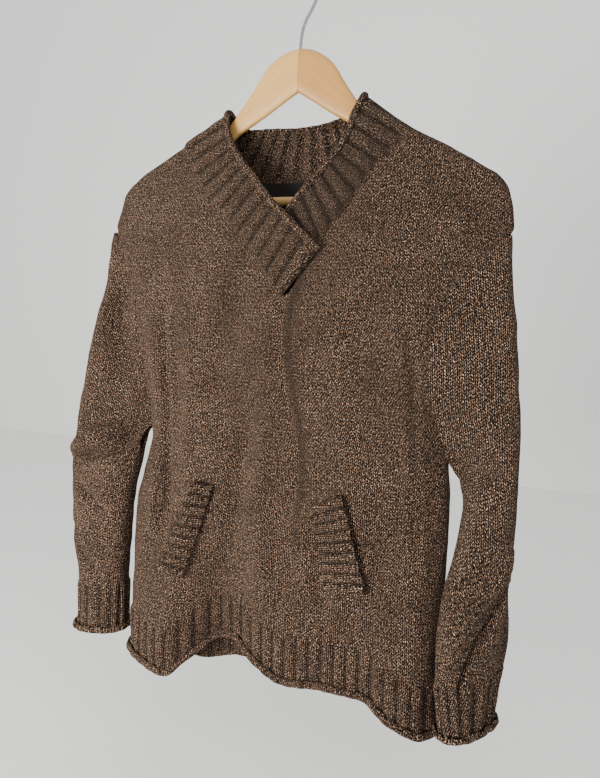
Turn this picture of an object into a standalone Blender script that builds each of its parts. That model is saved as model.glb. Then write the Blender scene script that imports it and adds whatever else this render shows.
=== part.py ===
"""V-neck sweater in chunky wool knit, hanging on a wooden hanger with a trouser bar.

Metres, +Z up, +X to the viewer's right, +Y away from the viewer. The origin is the
inner top of the hanger's hook, where the hook is held.
"""
import bpy
import bmesh
import numpy as np
from math import cos, pi, radians, sin
from mathutils import Matrix
from mathutils.bvhtree import BVHTree

MM = 0.001

# Cloth
CLOTH = 3.5 * MM            # thickness of the plain knit
SEAM_GAP = 0.3 * MM         # between two pieces sewn together
INNER_SET_BACK = 0.9 * MM   # of the inner edges at the armholes, where pieces meet at an angle
NECK_GAP = 0.5 * MM         # between the neckband and the panels, whose edges curve
RIB_RISE = 1.8 * MM         # how far a rib stands over the furrow beside it
RIB_ROWS = (1.06, 1.5, 1.9)    # places of the ribbed rows, from 1 at the plain knit to 2 at the edge
NECK_ROWS = (0, 0.7, 1.4, 1.88)
WELT_ROWS = (0, 0.66, 1.33, 2)
ROLL = 5.2 * MM             # radius of the rolled edges at hem and cuffs
HEM_ROLL_COLUMNS, CUFF_ROLL_COLUMNS = 40, 24
ROLL_OFFSET = 1.2 * MM      # how far a roll's middle stands in front of the cloth's outer face
ROLL_ANGLES = (62, 20, -22, -64, -106, -148)    # round a roll, from its front top underneath
HEM_RIB_HEIGHT = 60 * MM
HEM_RIBS = 27               # ribs across each panel
CUFF_RIB_HEIGHT = 64 * MM
CUFF_RIBS = 14
NECK_RIBS = 37
NECK_ROLL = 4.2 * MM
WELT_RIBS = 9
WELT_LIFT = 4 * MM          # how far the open edge of a pocket welt stands off the front

# Hanger
SWEEP = 0.05                # how far the arms lean back, for each unit sideways
BAR_RADIUS = 5.5 * MM
BAR_HEIGHT = -285 * MM
BAR_HALF_LENGTH = 191.7 * MM
HOOK_WIRE = 2 * MM
HOOK_RADIUS = 21 * MM
# The hook's wire below its bend, down to the wood. Columns: x, z in millimetres
HOOK_STEM = ((20.3, -30), (17, -43), (11.5, -55), (6, -65), (2, -77), (0.4, -89), (0, -100.3))

# Shoulder line on the hanger. Columns: x, z
SHOULDER_LINE = np.array((
    (-247, -264), (-234, -254), (-219, -243), (-187, -226), (-150, -205), (0, -118),
    (150, -204), (182, -220), (211, -236), (234, -250), (246, -257), (257, -268))) * MM

# Side edges of the front and back panels, with the armholes. Columns: z, x
LEFT_EDGE = np.array((
    (-264, -247), (-275, -253), (-298, -260), (-316.5, -263.5), (-331, -255), (-345, -243), (-370, -230),
    (-402, -219), (-440, -214), (-475, -209), (-515, -200), (-556, -190), (-600, -187), (-657, -197),
    (-698, -207), (-760, -209.5), (-830, -210), (-868, -210), (-895, -209.5), (-912, -209))) * MM
RIGHT_EDGE = np.array((
    (-268, 257), (-275, 261), (-300, 267.5), (-322, 270), (-336, 258), (-375, 223), (-411, 198),
    (-456, 187), (-500, 187), (-545, 196), (-575, 206), (-600, 215), (-660, 221), (-740, 222),
    (-820, 223), (-880, 225), (-932, 227))) * MM
# Rows of both panels, by their heights at the right edge, from the shoulder to the ribs.
# The sleeves share the rows between their top and the armpit.
ROW_HEIGHTS = np.array((
    -268, -269.3, -272, -277, -285, -296, -309, -322, -336, -355, -375, -393, -411, -433, -456, -478,
    -500, -525, -550, -575, -600, -650, -705, -765, -820, -866.8)) * MM
ARMPIT = -600 * MM
ROW_SHARES = (ROW_HEIGHTS[0] - ROW_HEIGHTS) / (ROW_HEIGHTS[0] - ROW_HEIGHTS[-1])
SLEEVE_TOP_ROW, ARMPIT_ROW = 8, 20
# Columns of a panel: left shoulder, left of the neck, right of the neck, right shoulder
FRONT_COLUMNS = (6, 10, 9, 6)
BACK_COLUMNS = (5, 6, 5, 5)

# Seams between panels and neckband. Columns: x, z on the front, z on the back
NECK_LINE = np.array((
    (-157, -210, -210), (-127, -262, -234), (-95, -296, -247), (-60, -333, -254), (-30, -366, -257),
    (9, -411, -258), (45, -350, -256), (83, -293, -247), (101, -258, -241), (130, -223, -224),
    (144, -203, -203))) * MM
NECK_LEFT, NECK_BOTTOM, NECK_RIGHT = -157 * MM, 9 * MM, 144 * MM

# Depth of the panels in front of and behind the middle. Columns: drop below the
# shoulder line, front depth, back depth
PANEL_DEPTH = np.array((
    (0, 0, 0), (1, 4.5, 4.5), (3, 7.5, 7.5), (6, 9.6, 9.6), (11, 11.2, 11.2), (40, 14.5, 13),
    (90, 24, 15.5), (150, 34, 17), (210, 41, 18), (290, 47, 19), (400, 46, 19), (560, 41, 19),
    (800, 37, 19))) * MM
HUG = 11.2 * MM             # depth that hugs the hanger, before the cloth falls freely

# Where the front's lower edge runs. Columns: x, y, z
FRONT_HEM = np.array((
    (-209, 4, -912), (-200, -14, -913), (-180, -30, -914), (-129, -49, -917), (-105, -36, -897),
    (-68, -6, -871), (-45, -9, -867), (-12, -22, -888), (37, -33, -902), (83, -33, -898),
    (135, -34, -898), (170, -43, -917), (198, -40, -928), (214, -26, -932), (227, 4, -932))) * MM
BACK_HEM = np.array((
    (-209, 4, -912), (-198, 19, -916), (-110, 23, -924), (-50, 22, -909), (40, 18, -918),
    (120, 23, -926), (212, 20, -931), (227, 4, -932))) * MM

# Soft folds of the front. Columns: rise, half width, top z, bottom z, x at top, middle, bottom
FRONT_FOLDS = np.array((
    (-9, 24, -430, -830, -138, -138, -190),
    (-9, 26, -540, -900, -20, -52, -84),
    (8, 26, -640, -930, -96, -117, -131),
    (7, 30, -470, -900, -6, -12, 6),
    (-7, 22, -640, -880, 60, 73, 95),
    (-6, 17, -740, -860, 134, 114, 96),
    (8, 22, -520, -935, 170, 190, 197),
    (-5, 30, -330, -560, -40, -60, -78),
    (5, 34, -400, -640, 70, 90, 104))) * MM
BACK_FOLDS = np.array((
    (3, 40, -330, -930, 60, 80, 60),
    (-3, 34, -420, -930, -60, -50, -66),
    (3, 38, -500, -930, -130, -126, -110))) * MM

# Sleeves as turned ovals. Columns: z, centre x, centre y, half width, half depth, turn
# in degrees from flat against the wall, seen from above
LEFT_SLEEVE = (
    (-331, -262, 12, 3, 8, 0), (-350, -252.5, 10, 14, 12, 0), (-370, -249, 6, 18, 17, 0),
    (-406, -245, -1, 24.5, 22, 0), (-445, -245.5, -5, 29.5, 26, 0), (-490, -247, -8, 36.5, 28, 2),
    (-530, -245, -10, 44, 29, 3), (-592, -245, -13, 54, 30, 4), (-640, -252, -15, 51.5, 29, 4),
    (-670, -256, -15, 47.5, 28, 4), (-705, -258, -13, 44, 27, 2), (-760, -257, -14, 40.5, 26, 0),
    (-800, -251.5, -15, 35, 25, 0), (-850, -250, -15, 33, 24, 0), (-886, -251, -15, 33, 24, 0))
RIGHT_SLEEVE = (
    (-336, 265.5, 12, 3, 8, 0), (-355, 257, 9, 13, 12, 0), (-375, 248.5, 5, 23, 17, 0),
    (-411, 238, -1, 38.5, 23, 0), (-440, 235.5, -5, 45.5, 26, 0), (-500, 237.5, -8, 50, 28, 0),
    (-545, 245, -9, 47.5, 29, 0), (-600, 256.5, -9, 38.5, 30, 3), (-622, 263.5, -9, 32, 30, 6),
    (-650, 266, -10, 30, 29, 12), (-700, 263, -11, 33, 26, 26), (-760, 258.5, -14, 44.5, 23, 38),
    (-820, 258.5, -17, 51, 21, 44), (-880, 257.5, -17, 43, 20, 48), (-914, 258, -17, 37, 19, 50))
LEFT_CUFF_TILT, RIGHT_CUFF_TILT = 0.10, -0.12  # drop towards the outer end of the cuff
SLEEVE_COLUMNS = 20
SLEEVE_FREE_ROWS = 8        # rows between the armpit and the cuff
# Heights between which a sleeve's depth passes from its own below to the panels' above
LEFT_BLEND, RIGHT_BLEND = (-440 * MM, -360 * MM), (-560 * MM, -420 * MM)
SLEEVE_SET_BACK = 0.006     # of the inner edges along the front and back seams, in shares of the way round
CAP_RISE = 3 * MM           # how far the sleeve's top reaches up at the outer end of the shoulder
ARMHOLE_OPENING = radians(62)    # of the oval, on each side of its inner end, where it joins
OVAL_POWER = 0.86           # below 1, so that the ovals are a little flat
# Folds on a sleeve. Columns: rise in mm, half width in mm, then place round the sleeve
# from 0 at the front seam to 1 at the back seam and height in mm, at each of three points
LEFT_SLEEVE_FOLDS = (
    (-9, 17, 0.10, -350, 0.13, -440, 0.10, -545),
    (9, 20, 0.06, -628, 0.22, -642, 0.40, -662),
    (-11, 16, 0.02, -668, 0.22, -686, 0.40, -704),
    (-5, 14, 0.16, -740, 0.26, -775, 0.34, -800))
RIGHT_SLEEVE_FOLDS = (
    (-4, 26, 0.14, -400, 0.22, -480, 0.40, -560),
    (6, 20, 0.46, -560, 0.43, -640, 0.42, -700),
    (5, 16, 0.40, -690, 0.30, -790, 0.24, -900),
    (-6, 15, 0.44, -730, 0.37, -820, 0.34, -900))

# Neckband, from the front end of the left band round the back to the hidden right end.
# Columns: 1 on the front or -1 on the back, x on the seam line, edge x, y, z, and how far
# the seam side stands in front of its panel
NECKBAND = (
    (1, 7, 46, -47, -351, 2), (1, -8, 29, -49, -336, 1.5), (1, -26, 10, -50, -318, 0),
    (1, -52, -13, -46, -297, 0), (1, -80, -38, -38, -268, 0), (1, -108, -60, -29, -244, 0),
    (1, -132, -76, -21, -222, 0), (1, -148, -88, -14, -200, 0), (1, -155.5, -93, -6, -180, 0),
    (-1, -157, -94, 5, -172, 0), (-1, -153, -91, 16, -179, 0), (-1, -138, -84, 21, -187, 0),
    (-1, -108, -68, 22, -191, 0), (-1, -68, -44, 22, -191, 0), (-1, -20, -10, 22, -192, 0),
    (-1, 30, 20, 22, -190, 0), (-1, 78, 48, 21, -184, 0), (-1, 112, 65, 21, -175, 0),
    (-1, 134, 77, 17, -169, 0), (-1, 143.5, 84, 5, -162, 0), (1, 142, 83, -6, -171, 0),
    (1, 132, 77, -14, -190, 0), (1, 115, 71, -18, -213, 0), (1, 98, 61, -26, -237, 0),
    (1, 80, 48, -32, -257, 0), (1, 60, 33, -37, -277, 0), (1, 43, 17, -39, -297, 0),
    (1, 29, 2, -39, -317, 0))

# Pocket welts. Columns: x, z at the upper and at the lower end of the mouth, then of the
# seam, and the clearance over the facets of the panel below
POCKETS = {
    "pocket_welt_left": ((-97, -652), (-150, -779), (-72, -656), (-110, -783), 2.6),
    "pocket_welt_right": ((97, -646), (133, -764), (57, -666), (80, -771), 1.0)}

LABEL_CENTRE, LABEL_TOP = -17 * MM, -260 * MM
LABEL_WIDTH, LABEL_HEIGHT, LABEL_THICKNESS = 62 * MM, 21 * MM, 0.8 * MM
LABEL_CLEARANCE = 0.5 * MM

# Arms of the hanger, whose ends carry the bar in a lobe. Columns: x, top z, bottom z, width
HANGER_ARM = np.array((
    (0.15, -100, -153, 12), (12, -101.5, -160, 12), (28, -108, -170, 12), (44, -121, -180, 12),
    (60, -144.5, -189, 12), (74, -164, -197, 11), (98, -193, -216, 8), (115, -208, -230, 7),
    (135, -220, -242, 7), (160, -229, -252, 7.4), (180, -232, -259, 9.5), (192, -236, -267, 10),
    (192.8, -236.5, -293, 10), (204, -243, -295, 10), (211, -248, -292, 8), (214.5, -254, -285, 4))) * MM
ARM_RING = 12

RAY_START = -0.3            # Y in front of the whole sweater
DIFFERENCE_STEP = 1e-4      # of places on a surface, when its normals are measured


def curve(keys, values):
    """Smooth curve through keyed values that never overshoots them, flat beyond its ends."""
    keys, values = np.asarray(keys, float), np.asarray(values, float)
    order = np.argsort(keys)
    keys, values = keys[order], values[order]
    steps = np.diff(keys)
    slopes = np.diff(values) / steps
    product = slopes[:-1] * slopes[1:]
    total = slopes[:-1] + slopes[1:]
    inside = np.where(product > 0, 2 * product / np.where(total == 0, 1, total), 0)
    tangents = np.concatenate((slopes[:1], inside, slopes[-1:]))

    def at(key):
        key = np.clip(key, keys[0], keys[-1])
        left = np.clip(np.searchsorted(keys, key) - 1, 0, len(steps) - 1)
        width = steps[left]
        part = (key - keys[left]) / width
        rest = 1 - part
        ends = values[left] * rest ** 2 * (1 + 2 * part) + values[left + 1] * part ** 2 * (1 + 2 * rest)
        return ends + width * part * rest * (tangents[left] * rest - tangents[left + 1] * part)
    return at


def ease(low, high, value):
    """From 0 at low to 1 at high, with soft ends."""
    part = np.clip((value - low) / (high - low), 0, 1)
    return part * part * (3 - 2 * part)


def bump(distance, half_width):
    """Height of a soft ridge: 1 on its line and 0 from half_width outwards."""
    return 0.5 + 0.5 * np.cos(pi * np.clip(distance / half_width, -1, 1))


shoulder_z = curve(SHOULDER_LINE[:, 0], SHOULDER_LINE[:, 1])
left_edge = curve(LEFT_EDGE[:, 0], LEFT_EDGE[:, 1])
right_edge = curve(RIGHT_EDGE[:, 0], RIGHT_EDGE[:, 1])
front_drop = curve(PANEL_DEPTH[:, 0], PANEL_DEPTH[:, 1])
back_drop = curve(PANEL_DEPTH[:, 0], PANEL_DEPTH[:, 2])
near_side = curve((0, 2 * MM, 6 * MM, 13 * MM, 24 * MM), (0, 0.45, 0.74, 0.94, 1))
far_side = curve((0, 20 * MM, 50 * MM, 95 * MM), (0, 0.36, 0.76, 1))
# How far from a side edge a panel counts where a sleeve carries its cloth on
joined_left = curve((-605 * MM, -556 * MM, -475 * MM, -402 * MM, -370 * MM, -345 * MM, -322 * MM),
                    (0, 5 * MM, 9 * MM, 13 * MM, 24 * MM, 22 * MM, 0))
joined_right = curve((-605 * MM, -545 * MM, -500 * MM, -390 * MM, -345 * MM, -322 * MM),
                     (0, 26 * MM, 52 * MM, 52 * MM, 22 * MM, 0))


def middle_y(x, z):
    """Y of the side seams: on the hanger's arms at the shoulders, then hanging straight."""
    drop = shoulder_z(x) - z
    return SWEEP * np.abs(x) + (4 * MM - SWEEP * np.abs(x)) * ease(20 * MM, 180 * MM, drop)


def panel_depth(x, z, depth_at_drop):
    """How far a panel stands from the middle: close on the hanger, fuller below it."""
    depth = depth_at_drop(shoulder_z(x) - z)
    close = np.minimum(depth, HUG)
    from_left = x - left_edge(z) + joined_left(z)
    from_right = right_edge(z) - x + joined_right(z)
    return (close * near_side(from_left) * near_side(from_right)
            + (depth - close) * far_side(from_left) * far_side(from_right))


def fold_rise(x, z, folds):
    """Rise of all soft folds of a panel at a point of it."""
    rise = 0 * x
    for height, half_width, top, bottom, x_top, x_middle, x_bottom in folds:
        line = curve((bottom, (top + bottom) / 2, top), (x_bottom, x_middle, x_top))
        fade = ease(bottom - 30 * MM, bottom + 60 * MM, z) * (1 - ease(top - 80 * MM, top, z))
        rise = rise + height * fade * bump(x - line(z), half_width)
    return rise


def across_at(x, z):
    """Place of a point between a panel's two side edges, from 0 to 1."""
    return (x - left_edge(z)) / (right_edge(z) - left_edge(z))


def hem_y(x, z, hem):
    """Depth of the hem's plan where the column through a point meets it."""
    at_hem = hem[0, 0] + across_at(x, z) * (hem[-1, 0] - hem[0, 0])
    return curve(hem[:, 0], hem[:, 1])(at_hem)


def front_y(x, z):
    """Outer face of the front panel."""
    inside = np.minimum(x - left_edge(z) + joined_left(z), right_edge(z) - x + joined_right(z))
    rise = fold_rise(x, z, FRONT_FOLDS) * ease(0, 40 * MM, inside)
    hanging = middle_y(x, z) - panel_depth(x, z, front_drop) - rise
    return hanging + (hem_y(x, z, FRONT_HEM) - hanging) * ease(-700 * MM, -885 * MM, z)


def back_y(x, z):
    """Outer face of the back panel."""
    inside = np.minimum(x - left_edge(z) + joined_left(z), right_edge(z) - x + joined_right(z))
    rise = fold_rise(x, z, BACK_FOLDS) * ease(0, 40 * MM, inside)
    hanging = middle_y(x, z) + panel_depth(x, z, back_drop) + rise
    return hanging + (hem_y(x, z, BACK_HEM) - hanging) * ease(-760 * MM, -890 * MM, z)


def material(name, colour, roughness, metallic=0.0):
    """Principled material of one finish."""
    made = bpy.data.materials.new(name)
    made.use_nodes = True
    shader = made.node_tree.nodes["Principled BSDF"]
    shader.inputs["Base Color"].default_value = (*colour, 1)
    shader.inputs["Roughness"].default_value = roughness
    shader.inputs["Metallic"].default_value = metallic
    return made


def add_object(name, mesh_builder, finish, smooth_angle=40):
    """Turn a bmesh into a named object with outward faces."""
    bmesh.ops.recalc_face_normals(mesh_builder, faces=mesh_builder.faces)
    mesh = bpy.data.meshes.new(name)
    mesh_builder.to_mesh(mesh)
    mesh_builder.free()
    mesh.shade_smooth()
    mesh.set_sharp_from_angle(angle=radians(smooth_angle))
    mesh.materials.append(finish)
    made = bpy.data.objects.new(name, mesh)
    bpy.context.scene.collection.objects.link(made)
    return made


def stitch(builder, first, second):
    """Triangles between two open rows of vertices, each spread evenly from end to end."""
    i = j = 0
    while i < len(first) - 1 or j < len(second) - 1:
        next_first = (i + 1) / (len(first) - 1) if i < len(first) - 1 else 2
        next_second = (j + 1) / (len(second) - 1) if j < len(second) - 1 else 2
        if next_first < next_second or (next_first == next_second and (i + j) % 2 == 0):
            builder.faces.new((first[i], first[i + 1], second[j]))
            i += 1
        else:
            builder.faces.new((first[i], second[j + 1], second[j]))
            j += 1


def wall(name, outer, inner, finish):
    """Closed cloth wall between rows of outer points and rows of inner points."""
    builder = bmesh.new()
    outer = [[builder.verts.new(point) for point in row] for row in outer]
    inner = [[builder.verts.new(point) for point in row] for row in inner]
    for first, second in zip(outer, outer[1:]):
        stitch(builder, first, second)
    for first, second in zip(inner, inner[1:]):
        stitch(builder, second, first)
    stitch(builder, inner[0], outer[0])
    stitch(builder, outer[-1], inner[-1])
    facing = len(inner)
    for end in (0, -1):
        near, far = [row[end] for row in outer], [row[end] for row in inner]
        stitch(builder, near[:facing], far)
        stitch(builder, near[facing - 1:], far[-1:])
    return add_object(name, builder, finish)


def surface_frame(place, across, along):
    """Points of a surface with their outward normals and their direction along it."""
    point = place(across, along)
    side = place(across + DIFFERENCE_STEP, along) - place(across - DIFFERENCE_STEP, along)
    onward = place(across, along + DIFFERENCE_STEP) - place(across, along - DIFFERENCE_STEP)
    normal = np.cross(side, onward)
    normal /= np.linalg.norm(normal, axis=-1, keepdims=True)
    onward /= np.linalg.norm(onward, axis=-1, keepdims=True)
    return point, normal, onward


def cloth_rows(place, across, plain_rows, rib_count, rib_rows, roll=0, roll_columns=0, set_back=0.0):
    """Outer and inner rows of points: plain knit, then ribs, then a rolled edge.

    A rib is three outer points wide: furrow, crown, crown. The inside stays plain, and its
    ends are set back so that two pieces don't press into one another where they bend.
    """
    outer, inner = [], []
    inside = across + set_back * (1 - 2 * across)
    ribbed = np.linspace(0, 1, rib_count * 3 + 1)
    crowns = np.where(np.arange(len(ribbed)) % 3 == 0, 0, RIB_RISE)[:, None]
    for number, along in enumerate((*plain_rows, *rib_rows)):
        ribs = number >= len(plain_rows)
        point, normal, _ = surface_frame(place, ribbed if ribs else across, along)
        outer.append(point + normal * crowns if ribs else point)
        point, normal, _ = surface_frame(place, inside, along)
        inner.append(point - CLOTH * normal)
    if roll:
        point, normal, onward = surface_frame(place, np.linspace(0, 1, roll_columns + 1), 2 - 1e-3)
        centre = point + normal * ROLL_OFFSET
        for degrees in ROLL_ANGLES:
            angle = radians(degrees)
            outer.append(centre + roll * (normal * cos(angle) - onward * sin(angle)))
    return outer, inner


def end_between(start, end, ribs_height, along):
    """Height for a place along a piece: 0 to 1 over the plain knit, 1 to 2 over the ribs."""
    ribs = end + ribs_height
    return np.where(along < 1, start + (ribs - start) * along, ribs + (end - ribs) * (along - 1))


def column_height(line):
    """Height where each column of a panel, by its place across, meets a line z(x)."""
    across = np.linspace(0, 1, 400)
    height = np.full(len(across), -0.3)
    for _ in range(60):
        height = 0.5 * height + 0.5 * line(left_edge(height) * (1 - across) + right_edge(height) * across)
    return lambda place: np.interp(place, across, height)


def top_line(x, neck_column):
    """Upper outline of a panel: shoulders, with the neck cut out between them."""
    neck = curve(NECK_LINE[:, 0], NECK_LINE[:, neck_column])
    return np.where((x > NECK_LEFT) & (x < NECK_RIGHT), neck(x), shoulder_z(x))


def panel_columns(neck_column, counts):
    """Places across a panel, with a column at each end of the neck and at its lowest point."""
    corners = [float(across_at(x, top_line(np.array(x), neck_column)))
               for x in (NECK_LEFT, NECK_BOTTOM, NECK_RIGHT)]
    left, low, right = corners
    first, second, third, last = counts
    return np.concatenate((
        left * np.linspace(0, 1, first + 1)[:-1] ** 1.5,
        left + (low - left) * np.linspace(0, 1, second + 1)[:-1] ** 1.25,
        right + (low - right) * np.linspace(1, 0, third + 1)[:-1] ** 1.25,
        1 + (right - 1) * np.linspace(1, 0, last + 1) ** 1.5))


def panel_surface(face_y, neck_column, hem, facing):
    """Outer face of the front (facing -1) or the back (facing 1), by place across and along."""
    hem_z = curve(hem[:, 0], hem[:, 2])
    top_at = column_height(lambda x: top_line(x, neck_column))
    end_at = column_height(lambda x: hem_z(x) + ROLL)

    def place(across, along):
        z = end_between(top_at(across), end_at(across), HEM_RIB_HEIGHT, along)
        x = (left_edge(z) + SEAM_GAP / 2) * (1 - across) + (right_edge(z) - SEAM_GAP / 2) * across
        return np.stack((x, face_y(x, z) + facing * SEAM_GAP / 2, z), axis=-1)
    return place


def turned(place):
    """The same surface with its columns counted from the other end."""
    return lambda across, along: place(1 - across, along)


def panel(name, place, columns, facing, finish):
    """Front or back of the body, with its ribs and its rolled edge."""
    if facing < 0:
        place, columns = turned(place), 1 - columns[::-1]
    outer, inner = cloth_rows(place, columns, ROW_SHARES, HEM_RIBS, RIB_ROWS, ROLL, HEM_ROLL_COLUMNS)
    for row in outer + inner:
        seam = middle_y(row[:, 0], row[:, 2]) + facing * SEAM_GAP / 2
        row[:, 1] = facing * np.maximum(facing * row[:, 1], facing * seam)
    for rows, margin in ((outer, SEAM_GAP / 2), (inner, INNER_SET_BACK)):
        for row in rows:
            z = row[:, 2]
            inside = np.clip(row[:, 0], left_edge(z) + margin, right_edge(z) - margin)
            row[:, 0] = np.where(z > ARMPIT, inside, row[:, 0])
    return wall(name, outer, inner, finish)


def sleeve_surface(sections, folds, edge, side, levels, cuff_tilt, blend):
    """Outer face of a sleeve, by place round it from the front seam and place along it.

    Towards its top its depth passes into that of the panels beside it.
    """
    keys = np.array([row[0] * MM for row in sections])
    centre_x, own_y, half_width, own_depth = (
        curve(keys, [row[column] * MM for row in sections]) for column in (1, 2, 3, 4))
    fronts, backs = front_y(edge(keys), keys), back_y(edge(keys), keys)
    with_panels = ease(*blend, keys)
    centre_y = curve(keys, own_y(keys) + ((fronts + backs) / 2 - own_y(keys)) * with_panels)
    half_depth = curve(keys, own_depth(keys) + ((backs - fronts) / 2 - own_depth(keys)) * with_panels)
    turn = curve(keys, [radians(row[5]) for row in sections])
    bottom, armpit = keys[-1] + ROLL, levels[-1]

    def oval(around, z):
        opening = ARMHOLE_OPENING * joined(z)
        angle = pi + opening + 2 * (pi - opening) * around
        wide = np.sign(np.cos(angle)) * np.abs(np.cos(angle)) ** OVAL_POWER * half_width(z)
        deep = np.sign(np.sin(angle)) * np.abs(np.sin(angle)) ** OVAL_POWER * half_depth(z)
        return (centre_x(z) + side * (wide * np.cos(turn(z)) - deep * np.sin(turn(z))),
                centre_y(z) + wide * np.sin(turn(z)) + deep * np.cos(turn(z)))

    def joined(z):
        return ease(armpit - 45 * MM, armpit, z)

    def plain(around, along):
        z = end_between(levels[0], bottom, CUFF_RIB_HEIGHT, along) + 0 * around
        x, y = oval(around, z)
        start_x, _ = oval(0 * around, z)
        start_x = np.where(around < 0.5, start_x, oval(0 * around + 1, z)[0])
        reach = joined(z) * np.where(around < 0.5, ease(0.34, 0, around), ease(0.66, 1, around))
        seam_y = np.where(around < 0.5, front_y(edge(z), z), back_y(edge(z), z))
        y = y + (seam_y - y) * reach
        x = x + (edge(z) + side * SEAM_GAP - start_x) * reach
        x = x + side * 8 * MM * ease(armpit, armpit - 25 * MM, z) * reach
        y = y + SEAM_GAP * (ease(0.96, 1, around) - ease(0.04, 0, around)) * (1 - joined(z))
        cap = CAP_RISE * (1 - (2 * around - 1) ** 2) * ease(levels[0] - 60 * MM, levels[0], z)
        tilt = cuff_tilt * side * (x - centre_x(z)) * ease(armpit, bottom, z)
        return np.stack((x, y, z + cap - tilt), axis=-1)

    def folded(around, along):
        point, normal, _ = surface_frame(plain, around, along)
        outward = -side * normal
        spots = np.linspace(0, 1, 25)
        rise = 0 * point[..., 0]
        for height, half, a0, z0, a1, z1, a2, z2 in folds:
            line_around = curve((0, 0.5, 1), (a0, a1, a2))(spots)
            line_z = curve((0, 0.5, 1), (z0, z1, z2))(spots) * MM
            round_off = (around[..., None] - line_around) * 4.4 * half_width(line_z)
            apart = np.hypot(round_off, point[..., 2, None] - line_z)
            fade = np.sin(pi * spots[apart.argmin(axis=-1)]) ** 0.5
            rise = rise + height * MM * fade * bump(apart.min(axis=-1), half * MM)
        near_seam = ease(0, 0.07, around) * ease(1, 0.93, around)
        return point + outward * (rise * near_seam)[..., None]
    return folded


def sleeve(name, place, side, shares, finish):
    """Sleeve, open at the armhole and closed along its underarm seam, with cuff and roll."""
    around = np.linspace(0, 1, SLEEVE_COLUMNS + 1)
    if side > 0:
        place = turned(place)
    outer, inner = cloth_rows(place, around, shares, CUFF_RIBS, RIB_ROWS, ROLL, CUFF_ROLL_COLUMNS,
                              SLEEVE_SET_BACK)
    edge = right_edge if side > 0 else left_edge
    for rows, margin in ((outer, SEAM_GAP), (inner, INNER_SET_BACK)):
        for row in rows:
            z = row[:, 2]
            outside = side * np.maximum(side * row[:, 0], side * edge(z) + margin)
            row[:, 0] = np.where(z > ARMPIT, outside, row[:, 0])
    return wall(name, outer, inner, finish)


def neckband_surface(front_top, back_top):
    """Outer face of the neckband: across runs round the neck, along from seam to inner edge.

    Its seam side follows the panels' own top edges, given as rows of points.
    """
    def nearest(row, x):
        return int(np.abs(row[:, 0] - x).argmin())

    left = front_top[nearest(front_top, NECK_LEFT):nearest(front_top, NECK_BOTTOM) + 1][::-1]
    right = front_top[nearest(front_top, NECK_BOTTOM):nearest(front_top, NECK_RIGHT) + 1][::-1]
    back = back_top[nearest(back_top, NECK_LEFT):nearest(back_top, NECK_RIGHT) + 1]
    line = np.concatenate((left, back[1:-1], right))
    length = np.concatenate(([0], np.cumsum(np.linalg.norm(np.diff(line, axis=0), axis=1))))
    left_end, right_start = len(left) - 1, len(left) + len(back) - 2
    sections = ((0, left_end + 1), (left_end, right_start + 1), (right_start, len(line)))
    stations, part = [], 0
    for number, row in enumerate(NECKBAND):
        if number and row[0] != NECKBAND[number - 1][0]:
            part += 1
        begin, end = sections[part]
        order = np.argsort(line[begin:end, 0])
        stations.append(np.interp(row[1] * MM, line[begin:end, 0][order], length[begin:end][order]))
    numbers = np.arange(len(NECKBAND))
    edge = [curve(numbers, [row[column] * MM for row in NECKBAND]) for column in (2, 3, 4)]
    lift = curve(numbers, [row[5] * MM for row in NECKBAND])
    seam_length = curve(numbers, stations)

    def ends(number):
        at = seam_length(number)
        seam = np.stack([np.interp(at, length, line[:, axis]) for axis in (0, 1, 2)], axis=-1)
        seam[..., 1] -= lift(number)
        return seam, np.stack([axis(number) for axis in edge], axis=-1)

    spread = np.linspace(0, len(NECKBAND) - 1, 600)
    seam, inner_edge = ends(spread)
    travelled = np.concatenate(([0], np.cumsum(
        np.linalg.norm(np.diff(0.5 * (seam + inner_edge), axis=0), axis=1))))
    travelled /= travelled[-1]

    def place(across, along):
        number = np.interp(across, travelled, spread)
        seam, inner_edge = ends(number)
        reach = inner_edge - seam
        width = np.linalg.norm(reach, axis=-1, keepdims=True)
        part = np.broadcast_to(along / 2, number.shape)[..., None]
        start = NECK_GAP / width
        return seam + reach * (start + (1 - start) * part)
    return place


def neckband(name, place, finish):
    """Ribbed band round the neck, with its inner edge rolled."""
    across = np.linspace(0, 1, 2 * NECK_RIBS + 1)
    outer, inner = cloth_rows(place, across, (), NECK_RIBS, NECK_ROWS, NECK_ROLL, 2 * NECK_RIBS)
    return wall(name, outer, inner, finish)


def welt_surface(measures, panel_tree):
    """Outer face of a pocket welt: across runs down the mouth, along from seam to mouth."""
    mouth_top, mouth_low, seam_top, seam_low = np.array(measures[:4]) * MM
    clearance = measures[4] * MM

    def place(across, along):
        across, along = np.broadcast_arrays(across, along)
        down, part = across[..., None], (along / 2)[..., None]
        mouth = mouth_top + (mouth_low - mouth_top) * down
        seam = seam_top + (seam_low - seam_top) * down
        spot = seam + (mouth - seam) * part
        y = [panel_tree.ray_cast((x, RAY_START, z), (0, 1, 0))[0].y for x, z in spot.reshape(-1, 2)]
        stand = clearance + CLOTH + WELT_LIFT * ease(0.2, 1, along / 2)
        return np.stack((spot[..., 0], np.reshape(y, across.shape) - stand, spot[..., 1]), axis=-1)
    return place if mouth_top[0] > 0 else turned(place)


def pocket_welt(name, place, finish):
    """Ribbed strip over a pocket's mouth."""
    outer, inner = cloth_rows(place, np.linspace(0, 1, 2 * WELT_RIBS + 1), (), WELT_RIBS, WELT_ROWS)
    return wall(name, outer, inner, finish)


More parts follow.
